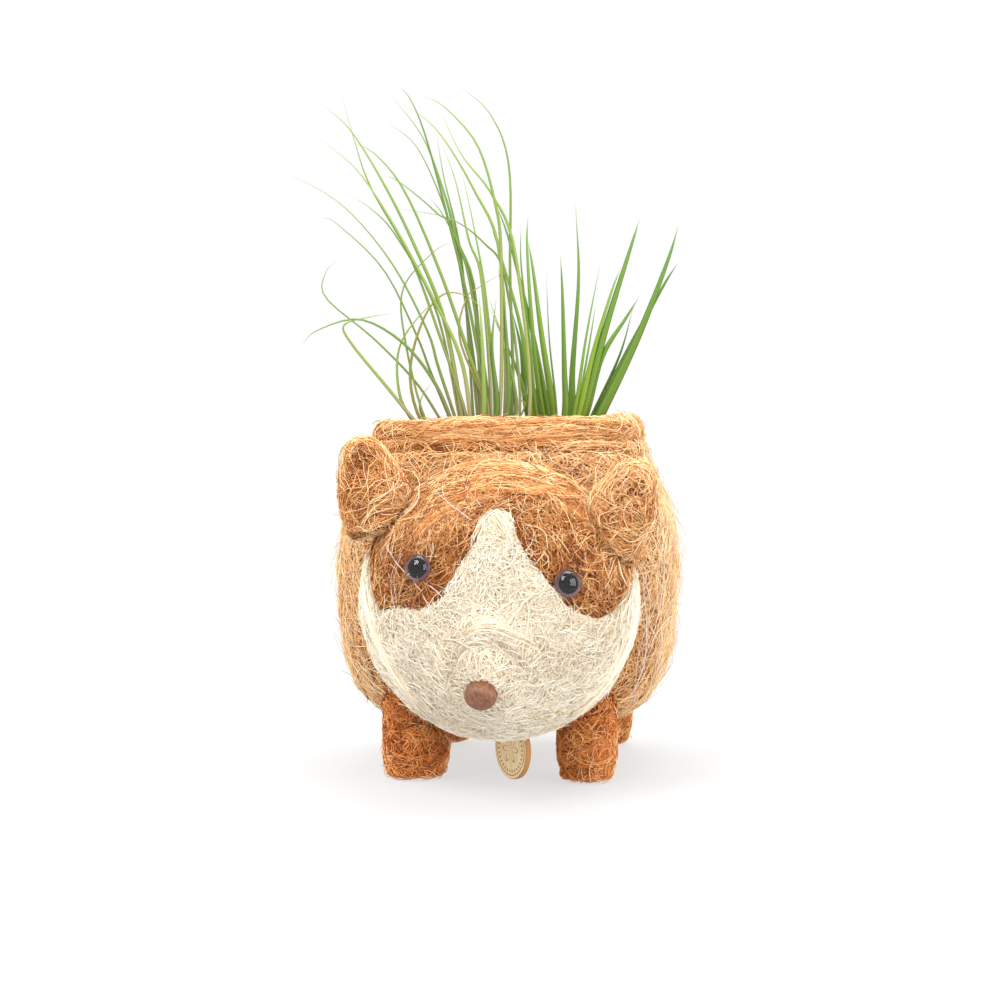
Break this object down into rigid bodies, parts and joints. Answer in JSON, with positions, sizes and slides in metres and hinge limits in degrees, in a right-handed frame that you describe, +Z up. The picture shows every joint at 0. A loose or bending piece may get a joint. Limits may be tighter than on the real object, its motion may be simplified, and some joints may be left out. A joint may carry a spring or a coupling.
{
  "type": "animal shaped planter",
  "caption": "Coir plant pot shaped like a short-legged dog, bound over a wire frame, with glass eyes, a hanging wooden tag and air plants in a lift-out liner.",
  "frame": {"origin": "on the ground the four feet stand on, midway between the front and rear feet", "axes": "+Z up, -Y the way the animal faces, +X to the right of a viewer who looks at its face"},
  "size_m": [0.1613, 0.2199, 0.275],
  "materials": {
    "coir": "matte coarse fibre",
    "bleached_fibre": "matte coarse fibre",
    "packed_fibre": "matte loose fibre",
    "thread": "satin twisted thread",
    "wire": "dull galvanised",
    "tag_wood": "smooth unvarnished",
    "liner_plastic": "matte black",
    "eye_clear": "polished clear",
    "eye_colour": "dark brown behind the clear dome",
    "eye_black": "black",
    "nose_wood": "matte stained",
    "grey_leaf": "matte, finely scaled",
    "dry_leaf": "dry matte",
    "green_leaf": "satin"
  },
  "bodies": {
    "planter": {"base_hoop": "wire", "belly_hoop": "wire", "body_shell": "coir", "cross_rib_front": "wire", "cross_rib_rear": "wire", "ear_left": "coir", "ear_right": "coir", "ear_wire_left": "wire", "ear_wire_right": "wire", "end_ribs": "wire", "eye_dome_left": "eye_clear", "eye_dome_right": "eye_clear", "eye_pupil_left": "eye_black", "eye_pupil_right": "eye_black", "eye_ring_left": "eye_colour", "eye_ring_right": "eye_colour", "eye_shank_left": "wire", "eye_shank_right": "wire", "face_mask": "bleached_fibre", "head_core": "packed_fibre", "head_skin": "coir", "leg_front_left": "coir", "leg_front_right": "coir", "leg_rear_left": "coir", "leg_rear_right": "coir", "leg_wire_front_left": "wire", "leg_wire_front_right": "wire", "leg_wire_rear_left": "wire", "leg_wire_rear_right": "wire", "neck_wires": "wire", "nose_button": "nose_wood", "nose_peg": "wire", "paw_thread_front_left": "thread", "paw_thread_front_right": "thread", "paw_thread_rear_left": "thread", "paw_thread_rear_right": "thread", "rim_hoop": "wire", "rim_roll": "coir", "snout": "bleached_fibre", "tag_stitch": "thread", "tail": "coir", "top_hoop": "wire"},
    "liner": {"liner_pot": "liner_plastic", "fibre_bed": "packed_fibre"},
    "plant_left": {"plant_left_base": "grey_leaf", "plant_left_leaves": "grey_leaf", "plant_left_dry_leaves": "dry_leaf"},
    "plant_right": {"plant_right_base": "green_leaf", "plant_right_leaves": "green_leaf"},
    "tag_thread": {"tag_loop": "thread"},
    "tag": {"tag_disc": "tag_wood"}
  },
  "joints": [
    {"name": "liner_lift", "type": "slide", "parent": "planter", "child": "liner", "axis": [0, 0, 1], "range_m": [0, 0.12]},
    {"name": "plant_left_lift", "type": "slide", "parent": "liner", "child": "plant_left", "axis": [0, 0, 1], "range_m": [0, 0.06]},
    {"name": "plant_right_lift", "type": "slide", "parent": "liner", "child": "plant_right", "axis": [0, 0, 1], "range_m": [0, 0.06]},
    {"name": "loop_swing", "type": "hinge", "parent": "planter", "child": "tag_thread", "pos_m": [0.007, -0.0665, 0.0261], "axis": [1, 0, 0], "range_deg": [-4, 15]},
    {"name": "tag_sway", "type": "hinge", "parent": "tag_thread", "child": "tag", "pos_m": [0.007, -0.0665, 0.0224], "axis": [-0.7986, -0.6018, 0], "range_deg": [-15, 7]}
  ]
}
